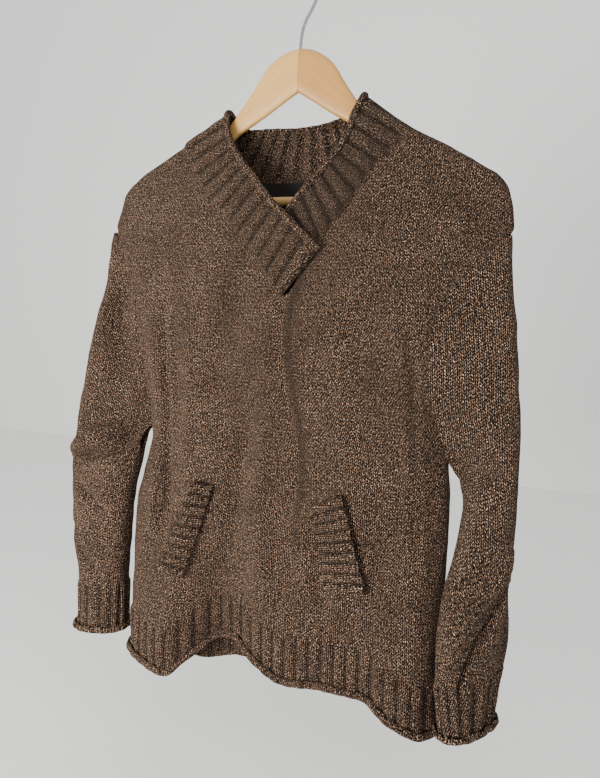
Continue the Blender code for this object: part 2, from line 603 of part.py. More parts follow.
def neck_label(name, finish):
    """Plain woven label against the inside of the back, under the neck seam."""
    columns = LABEL_CENTRE + LABEL_WIDTH * np.linspace(-0.5, 0.5, 9)

    def row(height, depth):
        return np.stack((columns, back_y(columns, 0 * columns + height) - depth, 0 * columns + height), axis=-1)

    heights = LABEL_TOP - LABEL_HEIGHT * np.linspace(0, 1, 4)
    near = CLOTH + LABEL_CLEARANCE
    inner = [row(height, near) for height in heights]
    outer = [row(height, near + LABEL_THICKNESS) for height in heights]
    return wall(name, outer, inner, finish)


def ring_faces(builder, first, second):
    """Band of quads between two closed rings of vertices."""
    for number in range(len(first)):
        following = (number + 1) % len(first)
        builder.faces.new((first[number], first[following], second[following], second[number]))


def hanger_arm(name, side, finish):
    """One wooden arm: rounded section, mitred in the middle, with a lobe for the bar."""
    builder = bmesh.new()
    rings = []
    for x, top, bottom, width in HANGER_ARM:
        middle, half_height = (top + bottom) / 2, (top - bottom) / 2
        ring = []
        for number in range(ARM_RING):
            angle = 2 * pi * (number + 0.5) / ARM_RING
            across = abs(cos(angle)) ** 0.8 * (1 if cos(angle) > 0 else -1)
            upright = abs(sin(angle)) ** 0.7 * (1 if sin(angle) > 0 else -1)
            y = SWEEP * x + across * width / 2
            ring.append(builder.verts.new((side * x, y, middle + upright * half_height)))
        rings.append(ring)
    for first, second in zip(rings, rings[1:]):
        ring_faces(builder, first, second)
    builder.faces.new(rings[0])
    builder.faces.new(rings[-1])
    return add_object(name, builder, finish)


def hanger_bar(name, finish):
    """Round trouser bar between the lobes of the two arms."""
    builder = bmesh.new()
    bmesh.ops.create_cone(builder, cap_ends=True, segments=16, radius1=BAR_RADIUS, radius2=BAR_RADIUS,
                          depth=2 * BAR_HALF_LENGTH)
    bmesh.ops.rotate(builder, verts=builder.verts, matrix=Matrix.Rotation(pi / 2, 3, "Y"))
    bmesh.ops.translate(builder, verts=builder.verts, vec=(0, SWEEP * BAR_HALF_LENGTH, BAR_HEIGHT))
    return add_object(name, builder, finish)


def hanger_hook(name, finish):
    """Wire hook: a round bend, then an easy curve down to the middle of the wood."""
    centre_z = HOOK_WIRE - HOOK_RADIUS
    points = []
    for degrees in range(200, -15, -15):
        angle = radians(degrees)
        points.append((HOOK_RADIUS * cos(angle), centre_z + HOOK_RADIUS * sin(angle)))
    points += [(x * MM, z * MM) for x, z in HOOK_STEM]
    numbers = np.arange(len(points))
    x_at, z_at = (curve(numbers, [point[axis] for point in points]) for axis in (0, 1))
    places = np.linspace(0, len(points) - 1, 2 * len(points) - 1)
    wire = bpy.data.curves.new(name, "CURVE")
    wire.dimensions = "3D"
    wire.bevel_depth = HOOK_WIRE
    wire.bevel_resolution = 2
    wire.use_fill_caps = True
    line = wire.splines.new("POLY")
    line.points.add(len(places) - 1)
    for point, place in zip(line.points, places):
        point.co = (x_at(place), 0, z_at(place), 1)
    wire.materials.append(finish)
    hook = bpy.data.objects.new(name, wire)
    bpy.context.scene.collection.objects.link(hook)
    return hook


for leftover in list(bpy.data.objects):
    bpy.data.objects.remove(leftover, do_unlink=True)

wool = material("brown_wool_knit", (0.115, 0.080, 0.058), 0.95)
woven_label = material("dark_woven_label", (0.012, 0.011, 0.011), 0.8)
light_wood = material("pale_beech", (0.63, 0.44, 0.23), 0.45)
warm_wood = material("warm_beech", (0.54, 0.34, 0.15), 0.45)
wire_metal = material("dark_chrome_wire", (0.30, 0.30, 0.31), 0.25, 1.0)

front_place = panel_surface(front_y, 1, FRONT_HEM, -1)
back_place = panel_surface(back_y, 2, BACK_HEM, 1)
front_columns = panel_columns(1, FRONT_COLUMNS)
back_columns = panel_columns(2, BACK_COLUMNS)
front = panel("front_panel", front_place, front_columns, -1, wool)
panel("back_panel", back_place, back_columns, 1, wool)

for name, sections, folds, edge, side, top, hem, tilt, blend in (
        ("sleeve_left", LEFT_SLEEVE, LEFT_SLEEVE_FOLDS, left_edge, -1, LEFT_EDGE[0, 0], FRONT_HEM[0, 2],
         LEFT_CUFF_TILT, LEFT_BLEND),
        ("sleeve_right", RIGHT_SLEEVE, RIGHT_SLEEVE_FOLDS, right_edge, 1, RIGHT_EDGE[0, 0], FRONT_HEM[-1, 2],
         RIGHT_CUFF_TILT, RIGHT_BLEND)):
    levels = top + (hem + ROLL + HEM_RIB_HEIGHT - top) * ROW_SHARES[SLEEVE_TOP_ROW:ARMPIT_ROW + 1]
    cuff_top = sections[-1][0] * MM + ROLL + CUFF_RIB_HEIGHT
    free = np.linspace(levels[-1], cuff_top, SLEEVE_FREE_ROWS + 1)[1:]
    shares = (levels[0] - np.concatenate((levels, free))) / (levels[0] - cuff_top)
    place = sleeve_surface(sections, folds, edge, side, levels, tilt, blend)
    sleeve(name, place, side, shares, wool)

band_place = neckband_surface(front_place(front_columns, 0.0), back_place(back_columns, 0.0))
neckband("neckband", turned(band_place), wool)

front_tree = BVHTree.FromObject(front, bpy.context.evaluated_depsgraph_get())
for name, measures in POCKETS.items():
    pocket_welt(name, welt_surface(measures, front_tree), wool)
neck_label("neck_label", woven_label)

hanger_arm("hanger_arm_left", -1, light_wood)
hanger_arm("hanger_arm_right", 1, warm_wood)
hanger_bar("hanger_bar", warm_wood)
hanger_hook("hanger_hook", wire_metal)
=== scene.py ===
"""V-neck sweater in chunky wool knit on a wooden hanger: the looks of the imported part.

Metres, +Z up, +X to the viewer's right, +Y away from the viewer. The origin is the inner
top of the hanger's hook.
"""
from math import cos, pi, radians, sin
import bmesh
import bpy
import numpy as np
from mathutils import Matrix, Vector
from mathutils.bvhtree import BVHTree


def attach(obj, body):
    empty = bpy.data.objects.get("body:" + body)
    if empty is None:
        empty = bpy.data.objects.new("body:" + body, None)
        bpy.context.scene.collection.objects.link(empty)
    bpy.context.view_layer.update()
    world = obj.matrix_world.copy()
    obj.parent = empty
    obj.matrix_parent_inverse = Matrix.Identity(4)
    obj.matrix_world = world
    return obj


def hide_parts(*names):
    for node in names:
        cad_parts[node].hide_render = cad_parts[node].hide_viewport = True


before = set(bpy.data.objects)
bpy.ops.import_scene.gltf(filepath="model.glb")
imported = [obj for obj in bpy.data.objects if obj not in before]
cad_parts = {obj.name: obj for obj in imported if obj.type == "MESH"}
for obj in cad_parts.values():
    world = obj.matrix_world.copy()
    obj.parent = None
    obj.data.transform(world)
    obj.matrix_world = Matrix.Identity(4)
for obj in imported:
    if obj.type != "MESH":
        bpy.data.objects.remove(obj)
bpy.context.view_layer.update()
MM = 0.001

# Camera. It stands in front of the sweater, to the right of its middle and at half its
# height, turned a little to the left, as in the photograph.
CAMERA_PLACE = (0.245, -0.727, -0.475)
CAMERA_LENS = 27.3          # millimetres, for a sensor 36 wide
camera_yaw, camera_pitch, camera_roll = radians(16.93), radians(-3.85), radians(3.14)
camera_turn = Matrix.Rotation(camera_yaw, 3, "Z") @ Matrix.Rotation(camera_pitch, 3, "X")
forward, rightward, upward = (camera_turn @ Vector(way) for way in ((0, 1, 0), (1, 0, 0), (0, 0, 1)))
picture_right = rightward * cos(camera_roll) + upward * sin(camera_roll)
picture_up = upward * cos(camera_roll) - rightward * sin(camera_roll)
camera = bpy.data.objects.new("camera", bpy.data.cameras.new("camera"))
camera.data.sensor_width = 36
camera.data.lens = CAMERA_LENS
camera.data.clip_start = 0.02
camera.matrix_world = (Matrix.Translation(CAMERA_PLACE)
                       @ Matrix((picture_right, picture_up, -forward)).transposed().to_4x4())
bpy.context.scene.collection.objects.link(camera)
bpy.context.scene.camera = camera


# Front panel. One knitted piece with dropped shoulders, a V cut out for the neck, and a
# ribbed hem whose edge rolls forward by itself. It hangs from the hanger's arms, and is
# sewn to the back at the shoulders and sides and to the sleeves at the armholes.
CLOTH = 3.5 * MM            # thickness of the plain knit
SEAM_GAP = 0.03 * MM        # between two pieces sewn together
RIB_RISE = 2.8 * MM         # how far a rib stands over the furrow beside it
HEM_RIB_HEIGHT = 60 * MM
HEM_RIBS = 27               # ribs across each panel
ROLL = 5.2 * MM             # radius of the rolled edges at hem and cuffs
ROLL_TURN = radians(262)    # how far round the edge has rolled
RIB_POWER = 0.6             # below 1, so that a rib's back is broad and its furrow narrow
COLUMNS_A_RIB = 8           # of the mesh
UNEVENNESS = 0.5 * MM       # rise and fall of the knit, either way
END_OF_RIBS = 2 - 1e-3      # place along a piece just before its roll begins
SHARP_FROM = radians(62)    # angle between two faces from which their edge is shaded sharp
SWEEP = 0.05                # how far the hanger's arms lean back, for each unit sideways
HANGING_Y = 4 * MM          # of the side seams, where they hang freely
FRONT_TO_HEM = (-700 * MM, -885 * MM)    # heights over which the front passes into its hem
# Shoulder line on the hanger. Columns: x, z
SHOULDER_LINE = np.array((
    (-247, -264), (-234, -254), (-219, -243), (-187, -226), (-150, -205), (0, -118),
    (150, -204), (182, -220), (211, -236), (234, -250), (246, -257), (257, -268))) * MM
# Side edges of both panels, from the shoulder to the hem. Columns: z, x
LEFT_EDGE = np.array((
    (-264, -247), (-275, -253), (-298, -260), (-316.5, -263.5), (-331, -255), (-345, -243), (-370, -230),
    (-402, -219), (-440, -214), (-475, -209), (-515, -200), (-556, -190), (-600, -189), (-657, -200),
    (-698, -209.5), (-760, -211.5), (-830, -211.5), (-868, -211), (-895, -209.5), (-912, -209))) * MM
RIGHT_EDGE = np.array((
    (-268, 257), (-275, 261), (-300, 267.5), (-322, 270), (-336, 258), (-375, 223), (-411, 198),
    (-456, 187), (-500, 187), (-545, 196), (-575, 206), (-600, 215), (-660, 221), (-740, 222),
    (-820, 223), (-880, 225), (-932, 227))) * MM
# Seams between panels and neckband. Columns: x, z on the front, z on the back
NECK_LINE = np.array((
    (-157, -210, -210), (-127, -262, -234), (-95, -296, -247), (-60, -333, -254), (-30, -366, -257),
    (9, -411, -258), (45, -350, -256), (83, -293, -247), (101, -258, -241), (130, -223, -224),
    (144, -203, -203))) * MM
NECK_LEFT, NECK_BOTTOM, NECK_RIGHT = -157 * MM, 9 * MM, 144 * MM
# Depth of the panels in front of and behind the middle. Columns: drop below the
# shoulder line, front depth, back depth
PANEL_DEPTH = np.array((
    (0, 0, 0), (1, 4.5, 4.5), (3, 7.5, 7.5), (6, 9.6, 9.6), (11, 11.2, 11.2), (40, 14.5, 13),
    (90, 24, 15.5), (150, 34, 17), (210, 41, 18), (290, 47, 19), (400, 46, 19), (560, 41, 19),
    (800, 37, 19))) * MM
HUG = 11.2 * MM             # depth that hugs the hanger, before the cloth falls freely
# Where the front's lower edge runs. Columns: x, y, z
FRONT_HEM = np.array((
    (-209, 4, -912), (-200, -14, -913), (-180, -30, -914), (-129, -49, -917), (-105, -36, -897),
    (-68, -6, -871), (-45, -9, -867), (-12, -22, -888), (37, -33, -902), (83, -33, -898),
    (135, -34, -898), (170, -43, -917), (198, -40, -928), (214, -26, -932), (227, 4, -932))) * MM
# Soft folds of the front, hollows where the rise is negative. Columns: rise, half width,
# top z, bottom z, x at top, middle and bottom
FRONT_FOLDS = np.array((
    (-9, 24, -430, -830, -138, -138, -190),
    (-9, 26, -540, -900, -20, -52, -84),
    (8, 26, -640, -930, -96, -117, -131),
    (7, 30, -470, -900, -6, -12, 6),
    (-7, 22, -640, -880, 60, 73, 95),
    (-6, 17, -740, -860, 134, 114, 96),
    (8, 22, -520, -935, 170, 190, 197),
    (-5, 30, -330, -560, -40, -60, -78),
    (5, 34, -400, -640, 70, 90, 104),
    (-6, 11, -400, -760, -160, -152, -144),
    (4, 12, -400, -760, -180, -172, -166),
    (-6, 12, -400, -760, 158, 178, 192))) * MM
DIFFERENCE_STEP = 1e-4      # of places on a surface, when its normals are measured


def curve(keys, values):
    """Smooth curve through keyed values that never overshoots them, flat beyond its ends."""
    keys, values = np.asarray(keys, float), np.asarray(values, float)
    order = np.argsort(keys)
    keys, values = keys[order], values[order]
    steps = np.diff(keys)
    slopes = np.diff(values) / steps
    product = slopes[:-1] * slopes[1:]
    total = slopes[:-1] + slopes[1:]
    inside = np.where(product > 0, 2 * product / np.where(total == 0, 1, total), 0)
    tangents = np.concatenate((slopes[:1], inside, slopes[-1:]))

    def at(key):
        key = np.clip(key, keys[0], keys[-1])
        left = np.clip(np.searchsorted(keys, key) - 1, 0, len(steps) - 1)
        width = steps[left]
        part = (key - keys[left]) / width
        rest = 1 - part
        ends = values[left] * rest ** 2 * (1 + 2 * part) + values[left + 1] * part ** 2 * (1 + 2 * rest)
        return ends + width * part * rest * (tangents[left] * rest - tangents[left + 1] * part)
    return at


def ease(low, high, value):
    """From 0 at low to 1 at high, with soft ends."""
    part = np.clip((value - low) / (high - low), 0, 1)
    return part * part * (3 - 2 * part)


def bump(distance, half_width):
    """Height of a soft ridge: 1 on its line and 0 from half_width outwards."""
    return 0.5 + 0.5 * np.cos(pi * np.clip(distance / half_width, -1, 1))


shoulder_z = curve(SHOULDER_LINE[:, 0], SHOULDER_LINE[:, 1])
left_edge = curve(LEFT_EDGE[:, 0], LEFT_EDGE[:, 1])
right_edge = curve(RIGHT_EDGE[:, 0], RIGHT_EDGE[:, 1])
front_drop = curve(PANEL_DEPTH[:, 0], PANEL_DEPTH[:, 1])
# Share of its depth that a panel has at a distance from its side edge: of the part that hugs
# the hanger, and of the part that falls freely
near_side = curve((0, 2 * MM, 6 * MM, 13 * MM, 24 * MM), (0, 0.45, 0.74, 0.94, 1))
far_side = curve((0, 20 * MM, 50 * MM, 95 * MM), (0, 0.36, 0.76, 1))
# How far from a side edge a panel counts where a sleeve carries its cloth on
joined_left = curve((-605 * MM, -556 * MM, -475 * MM, -402 * MM, -370 * MM, -345 * MM, -322 * MM),
                    (0, 5 * MM, 9 * MM, 13 * MM, 24 * MM, 22 * MM, 0))
joined_right = curve((-605 * MM, -545 * MM, -500 * MM, -390 * MM, -345 * MM, -322 * MM),
                     (0, 26 * MM, 52 * MM, 52 * MM, 22 * MM, 0))


def middle_y(x, z):
    """Y of the side seams: on the hanger's arms at the shoulders, then hanging straight."""
    drop = shoulder_z(x) - z
    return SWEEP * np.abs(x) + (HANGING_Y - SWEEP * np.abs(x)) * ease(20 * MM, 180 * MM, drop)


def panel_depth(x, z, depth_at_drop):
    """How far a panel stands from the middle: close on the hanger, fuller below it."""
    depth = depth_at_drop(shoulder_z(x) - z)
    close = np.minimum(depth, HUG)
    from_left = x - left_edge(z) + joined_left(z)
    from_right = right_edge(z) - x + joined_right(z)
    return (close * near_side(from_left) * near_side(from_right)
            + (depth - close) * far_side(from_left) * far_side(from_right))


def fold_rise(x, z, folds):
    """Rise of all soft folds of a panel at a point of it."""
    rise = 0 * x
    for height, half_width, top, bottom, x_top, x_middle, x_bottom in folds:
        line = curve((bottom, (top + bottom) / 2, top), (x_bottom, x_middle, x_top))
        fade = ease(bottom - 30 * MM, bottom + 60 * MM, z) * (1 - ease(top - 80 * MM, top, z))
        rise = rise + height * fade * bump(x - line(z), half_width)
    return rise


def across_at(x, z):
    """Place of a point between a panel's two side edges, from 0 to 1."""
    return (x - left_edge(z)) / (right_edge(z) - left_edge(z))


def hem_y(x, z, hem):
    """Depth of the hem's plan where the column through a point meets it."""
    at_hem = hem[0, 0] + across_at(x, z) * (hem[-1, 0] - hem[0, 0])
    return curve(hem[:, 0], hem[:, 1])(at_hem)


def front_y(x, z):
    """Outer face of the front panel."""
    inside = np.minimum(x - left_edge(z) + joined_left(z), right_edge(z) - x + joined_right(z))
    rise = fold_rise(x, z, FRONT_FOLDS) * ease(0, 40 * MM, inside)
    hanging = middle_y(x, z) - panel_depth(x, z, front_drop) - rise
    return hanging + (hem_y(x, z, FRONT_HEM) - hanging) * ease(*FRONT_TO_HEM, z)


def surface_frame(place, across, along):
    """Points of a surface with their outward normals and their direction along it."""
    point = place(across, along)
    side = place(across + DIFFERENCE_STEP, along) - place(across - DIFFERENCE_STEP, along)
    onward = place(across, along + DIFFERENCE_STEP) - place(across, along - DIFFERENCE_STEP)
    normal = np.cross(side, onward)
    normal /= np.linalg.norm(normal, axis=-1, keepdims=True)
    onward /= np.linalg.norm(onward, axis=-1, keepdims=True)
    return point, normal, onward


def end_between(start, end, ribs_height, along):
    """Height for a place along a piece: 0 to 1 over the plain knit, 1 to 2 over the ribs."""
    ribs = end + ribs_height
    return np.where(along < 1, start + (ribs - start) * along, ribs + (end - ribs) * (along - 1))


def column_height(line):
    """Height where each column of a panel, by its place across, meets a line z(x)."""
    across = np.linspace(0, 1, 400)
    height = np.full(len(across), -0.3)
    # Half steps settle on the height, because the side edges' x changes with it
    for _ in range(60):
        height = 0.5 * height + 0.5 * line(left_edge(height) * (1 - across) + right_edge(height) * across)
    return lambda place: np.interp(place, across, height)


def top_line(x, neck_column):
    """Upper outline of a panel: shoulders, with the neck cut out between them."""
    neck = curve(NECK_LINE[:, 0], NECK_LINE[:, neck_column])
    return np.where((x > NECK_LEFT) & (x < NECK_RIGHT), neck(x), shoulder_z(x))


def panel_surface(face_y, neck_column, hem, facing):
    """Outer face of the front (facing -1) or the back (facing 1), by place across and along."""
    hem_z = curve(hem[:, 0], hem[:, 2])
    top_at = column_height(lambda x: top_line(x, neck_column))
    end_at = column_height(lambda x: hem_z(x) + ROLL)

    def place(across, along):
        z = end_between(top_at(across), end_at(across), HEM_RIB_HEIGHT, along)
        x = (left_edge(z) + SEAM_GAP / 2) * (1 - across) + (right_edge(z) - SEAM_GAP / 2) * across
        return np.stack((x, face_y(x, z) + facing * SEAM_GAP / 2, z), axis=-1)
    return place


def turned(place):
    """The same surface with its columns counted from the other end."""
    return lambda across, along: place(1 - across, along)


def uneven(across, along, seed):
    """Soft unevenness of worn knit, mostly from -1 to 1, over a surface in metres."""
    draws = np.random.default_rng(seed)
    total = 0 * across
    for wave in draws.uniform(-1, 1, (14, 4)):
        total = total + np.sin(across * (70 + 130 * wave[0]) * (1 if wave[2] > 0 else -1)
                               + along * (80 + 120 * wave[1]) + 7 * wave[3])
    return total / 5


def rib(across, count):
    """Height of a rib, from 0 in the furrow to 1 along its round back."""
    return (0.5 - 0.5 * np.cos(2 * pi * count * across)) ** RIB_POWER


def knitted(place, ribs, seed, plain_rows=0, rib_rows=11, roll_rows=12, roll=ROLL, ribs_from=1,
            columns_a_rib=COLUMNS_A_RIB):
    """Knitted piece: a flat grid laid over place(across, along), ribbed and rolled.

    Along runs 0 to 1 over the plain knit, 1 to 2 over the ribs and 2 to 3 round the roll. The
    ribs begin at ribs_from. A piece without plain rows runs 0 to 2 over its ribs. The UV map
    holds the distance in metres across and along the knit, and the attribute furrow is 1 at
    the bottom of a furrow between two ribs.
    """
    columns = ribs * columns_a_rib
    along = np.concatenate((np.linspace(0, 1, plain_rows + 1)[:-1] if plain_rows else (),
                            np.linspace(1 if plain_rows else 0, END_OF_RIBS, rib_rows + 1),
                            2 + np.linspace(0, 1, roll_rows + 1)[1:] if roll else ()))
    across = np.linspace(0, 1, columns + 1)
    builder = bmesh.new()
    bmesh.ops.create_grid(builder, x_segments=columns, y_segments=len(along) - 1, size=0.5)
    builder.verts.ensure_lookup_table()
    flat = np.array([vertex.co[:2] for vertex in builder.verts]).round(5)
    order = np.lexsort((flat[:, 0], flat[:, 1])).reshape(len(along), columns + 1)

    across, along = np.meshgrid(across, along)
    point, normal, onward = surface_frame(place, across, np.minimum(along, END_OF_RIBS))
    step_across = np.linalg.norm(np.diff(point, axis=1), axis=2)
    # Steps along a panel or a sleeve leave x out, so that its rows of stitches stay level
    step_along = np.linalg.norm(np.diff(point, axis=0)[..., 1 if plain_rows else 0:], axis=2)
    u = np.concatenate((0 * point[:, :1, 0], np.cumsum(step_across, axis=1)), axis=1)
    u = u - u[:, [columns // 2]]
    v = np.concatenate((0 * point[:1, :, 0], np.cumsum(step_along, axis=0)), axis=0)
    v = v - v[[0], :] - point[[0], :, 2]

    strength = ease(ribs_from - 0.02, ribs_from + 0.07, along) * (1 - 0.6 * ease(1.94, 2.15, along))
    relief = RIB_RISE * rib(across, ribs) * strength + UNEVENNESS * uneven(u, v, seed)
    furrow = ((1 - rib(across, ribs)) * strength).ravel()
    point = point + normal * relief[..., None]
    if roll:
        inside = roll - CLOTH
        angle = np.clip(along - 2, 0, 1) * ROLL_TURN
        rolled = (normal * (inside * (1 - np.cos(angle)))[..., None]
                  + onward * (inside * np.sin(angle))[..., None])
        point = point + rolled
        v = v + angle * roll
    flat_point, flat_uv = point.reshape(-1, 3), np.stack((u, v), axis=-1).reshape(-1, 2)
    depth = builder.verts.layers.float.new("furrow")
    builder.verts.ensure_lookup_table()
    uv_of = np.empty_like(flat_uv)
    for spot, number in enumerate(order.ravel()):
        builder.verts[number].co = flat_point[spot]
        builder.verts[number][depth] = furrow[spot]
        uv_of[number] = flat_uv[spot]
    layer = builder.loops.layers.uv.new("knit")
    builder.verts.index_update()
    for face in builder.faces:
        for loop in face.loops:
            loop[layer].uv = uv_of[loop.vert.index]
    return builder


def finished(name, builder, finish, slot, thickness=0.0):
    """Object at the origin with a smooth mesh, its material and, for cloth, its thickness."""
    if thickness:
        builder.normal_update()
        bmesh.ops.solidify(builder, geom=builder.faces[:], thickness=thickness)
    mesh = bpy.data.meshes.new(name)
    builder.to_mesh(mesh)
    builder.free()
    mesh.shade_smooth()
    mesh.set_sharp_from_angle(angle=SHARP_FROM)
    mesh.materials.append(finish)
    piece = bpy.data.objects.new(name, mesh)
    bpy.context.scene.collection.objects.link(piece)
    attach(piece, "root")
    return piece


class Value:
    """Socket of a material that Python's operators work on; each adds one Math node."""

    def __init__(self, tree, socket):
        self.tree, self.socket = tree, socket

    def node(self, kind, settings, inputs, output=0):
        """Any other node: its type, then its settings, then values or links by socket name."""
        made = self.tree.nodes.new(kind)
        for key, value in settings.items():
            setattr(made, key, value)
        for key, value in inputs.items():
            self.plug(value, made.inputs[key])
        return Value(self.tree, made.outputs[output])

    def plug(self, value, socket):
        """Link a value into a socket, or set it there."""
        if isinstance(value, Value):
            self.tree.links.new(value.socket, socket)
        else:
            socket.default_value = value

    def math(self, operation, first, second=0.0):
        """Math node of one operation."""
        return self.node("ShaderNodeMath", {"operation": operation}, {0: first, 1: second})

    def __add__(self, other):
        return self.math("ADD", self, other)

    def __sub__(self, other):
        return self.math("SUBTRACT", self, other)

    def __rsub__(self, other):
        return self.math("SUBTRACT", other, self)

    def __mul__(self, other):
        return self.math("MULTIPLY", self, other)

    def __truediv__(self, other):
        return self.math("DIVIDE", self, other)

    def __pow__(self, other):
        return self.math("POWER", self, other)

    def __abs__(self):
        return self.math("ABSOLUTE", self)

    __radd__, __rmul__ = __add__, __mul__

    def fraction(self):
        """Part after the decimal point."""
        return self.math("FRACT", self)

    def between(self, low, high):
        """0 below low, 1 above high, soft in between."""
        return self.node("ShaderNodeMapRange", {"interpolation_type": "SMOOTHSTEP"},
                         {"Value": self, "From Min": low, "From Max": high})

    def noise(self, scale, detail=2.0, roughness=0.5):
        """Noise at this place, from 0 to 1, around 0.5."""
        return self.node("ShaderNodeTexNoise", {}, {"Vector": self, "Scale": scale, "Detail": detail,
                                                    "Roughness": roughness})

    def mix(self, first, second):
        """First colour where this is 0, second where it is 1."""
        return self.node("ShaderNodeMix", {"data_type": "RGBA"}, {0: self, 6: first, 7: second}, 2)

    def part(self, name):
        """One of the X, Y and Z of a place."""
        return self.node("ShaderNodeSeparateXYZ", {}, {0: self}, "XYZ".index(name))

    def place(self, x, y, z=0.0):
        """Place from its X, Y and Z."""
        return self.node("ShaderNodeCombineXYZ", {}, {0: x, 1: y, 2: z})


def finish_of(name, roughness, metallic=0.0, space="Object", **constants):
    """Material with its constants on the shader's own sockets.

    Returns it, its shader, and the place on a piece as a Value.
    """
    made = bpy.data.materials.new(name)
    made.use_nodes = True
    shader = made.node_tree.nodes["Principled BSDF"]
    shader.inputs["Roughness"].default_value = roughness
    shader.inputs["Metallic"].default_value = metallic
    for key, value in constants.items():
        shader.inputs[key.replace("_", " ")].default_value = value
    coordinates = made.node_tree.nodes.new("ShaderNodeTexCoord")
    return made, shader, Value(made.node_tree, coordinates.outputs[space])


def wool_knit(name, dark, light, fleck):
    """Chunky marled yarn in plain knit: two slanting legs a stitch, in columns down the cloth, with shade
    painted into the gaps between its strands and the furrows between its ribs.
    """
    stitch_width, stitch_height = 5.0, 3.7
    leg_slope, relief, painted_furrow_shade = 1.05, 2.6 * MM, 0.6
    made, shader, place = finish_of(
        name, 0.92, space="UV", Sheen_Weight=0.02, Sheen_Roughness=0.45,
        Sheen_Tint=(0.75, 0.66, 0.56, 1), Specular_IOR_Level=0.05)
    # In millimetres on the cloth, where columns and rows of stitches wander a little
    across, down = place.part("X") * 1000, place.part("Y") * 1000
    spot = place.place(across, down)
    across = across + (spot.noise(0.11, 2.0) - 0.5) * 2.2
    down = down + (spot.noise(0.19, 2.0) - 0.5) * 2.4
    column = (across / stitch_width).fraction()
    from_middle = abs(column * 2 - 1)
    slant = down / stitch_height + from_middle * leg_slope
    strand = 1 - (slant.fraction() * 2 - 1) ** 2
    leg = 1 - abs(from_middle * 2 - 1) ** 2.6
    along_leg = place.place(slant * 3.4, (across + down * 0.35) * 0.55)
    fibre = along_leg.noise(1.1, 3.0, 0.65)
    height = strand ** 0.8 * (0.15 + 0.85 * leg) + (fibre - 0.5) * 0.7
    # Two shades of yarn along each leg, pale tweed flecks, and dark specks between the fibres
    speck = spot.noise(0.42, 2.0, 0.7).between(0.36, 0.64)
    marl = along_leg.noise(0.75, 2.0, 0.6).between(0.44, 0.58)
    tweed = spot.noise(0.55, 3.0, 0.75).between(0.53, 0.64)
    broad = spot.noise(0.018, 2.0, 0.5)
    colour = marl.mix(dark, light)
    colour = (tweed * 0.6).mix(colour, fleck)
    # Painted shade: the colour darkens where a stitch's height is low, in the gaps between strands, and in
    # the furrows between ribs; the broad noise and the specks vary the tone at random.
    furrow = place.node("ShaderNodeAttribute", {"attribute_name": "furrow"}, {}, 2)
    tone_and_painted_shade = (height.between(0.30, 0.88) * (0.60 + 0.80 * broad) * (0.10 + 1.80 * speck)
             * (1 - painted_furrow_shade * furrow.between(0.3, 1.0)))
    colour = place.node("ShaderNodeVectorMath", {"operation": "SCALE"}, {0: colour, "Scale": tone_and_painted_shade})
    place.plug(colour, shader.inputs["Base Color"])
    bumped = place.node("ShaderNodeBump", {}, {"Strength": 1.0, "Distance": relief, "Height": height})
    place.plug(bumped, shader.inputs["Normal"])
    return made


wool = wool_knit("brown_wool_knit", dark=(0.036, 0.020, 0.012, 1), light=(0.215, 0.126, 0.080, 1),
                 fleck=(0.72, 0.54, 0.39, 1))

front_place = panel_surface(front_y, 1, FRONT_HEM, -1)
front_panel = finished("front_panel_knit", knitted(
    turned(front_place), HEM_RIBS, seed=3, plain_rows=118), wool, "brown_wool_knit", CLOTH)
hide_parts("front_panel")


# Back panel. The same knitted piece with a shallow neck, which falls straight behind the
# hanger, since the cloth's weight lies in front.
BACK_TO_HEM = (-760 * MM, -890 * MM)
# Its lower edge and its soft folds, with the columns of the front's
BACK_HEM = np.array((
    (-209, 4, -912), (-198, 19, -916), (-110, 23, -924), (-50, 22, -909), (40, 18, -918),
    (120, 23, -926), (212, 20, -931), (227, 4, -932))) * MM
BACK_FOLDS = np.array((
    (3, 40, -330, -930, 60, 80, 60),
    (-3, 34, -420, -930, -60, -50, -66),
    (3, 38, -500, -930, -130, -126, -110))) * MM
back_drop = curve(PANEL_DEPTH[:, 0], PANEL_DEPTH[:, 2])


def back_y(x, z):
    """Outer face of the back panel."""
    inside = np.minimum(x - left_edge(z) + joined_left(z), right_edge(z) - x + joined_right(z))
    rise = fold_rise(x, z, BACK_FOLDS) * ease(0, 40 * MM, inside)
    hanging = middle_y(x, z) + panel_depth(x, z, back_drop) + rise
    return hanging + (hem_y(x, z, BACK_HEM) - hanging) * ease(*BACK_TO_HEM, z)


back_place = panel_surface(back_y, 2, BACK_HEM, 1)
back_panel = finished("back_panel_knit", knitted(
    back_place, HEM_RIBS, seed=5, plain_rows=100), wool, "brown_wool_knit", CLOTH)
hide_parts("back_panel")


# Sleeves. Each is one knitted piece, sewn to the dropped shoulder at its top and closed
# along its underarm, with a ribbed cuff whose edge rolls outward. They hang, fold a little
# where the elbow was, and the right one turns on itself below it.
CUFF_RIB_HEIGHT = 64 * MM
CUFF_RIBS = 14
LEFT_CUFF_TILT, RIGHT_CUFF_TILT = 0.10, -0.12  # drop towards the outer end of the cuff
CAP_RISE = 6 * MM           # how far the sleeve's top reaches up at the outer end of the shoulder
ARMHOLE_OPENING = radians(62)    # of the oval, on each side of its inner end, where it joins
OVAL_POWER = 0.86           # below 1, so that the ovals are a little flat
UNDERARM_JOIN = 0.7 * MM    # points closer than this are joined below the armpit
# Shares of the way from the shoulder to the ribs at which sleeves begin, and of the armpit
SLEEVE_TOP_SHARE, ARMPIT_SHARE = 68 / 598.8, 332 / 598.8
# Heights between which a sleeve's depth passes from its own below to the panels' above
LEFT_BLEND, RIGHT_BLEND = (-440 * MM, -360 * MM), (-560 * MM, -420 * MM)
